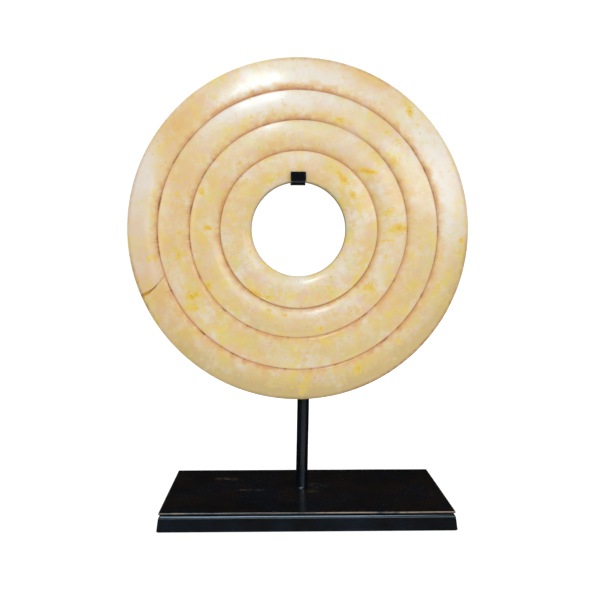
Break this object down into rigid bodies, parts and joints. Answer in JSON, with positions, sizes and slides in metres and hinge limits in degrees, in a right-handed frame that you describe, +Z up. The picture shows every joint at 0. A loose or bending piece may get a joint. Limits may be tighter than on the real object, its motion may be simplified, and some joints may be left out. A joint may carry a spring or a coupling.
{
  "type": "bi disc on stand",
  "caption": "Round ringed stone disc with a central hole, hung upright on a hook from a black steel post on a flat rectangular foot.",
  "frame": {"origin": "on the ground plane under the middle of the object's box, below the disc's centre", "axes": "+Z up, the disc's carved face towards -Y, +X to the right as seen from the front"},
  "size_m": [0.28, 0.1204, 0.3719],
  "materials": {
    "stone": "polished pale yellow stone with ochre blotches and red-brown stain in the grooves",
    "black_steel": "semi-gloss black paint, rubbed brown along the foot's front edge"
  },
  "bodies": {
    "root": {"disc": "stone", "base": "black_steel", "post": "black_steel", "back_ring": "black_steel", "hook": "black_steel"}
  },
  "joints": []
}
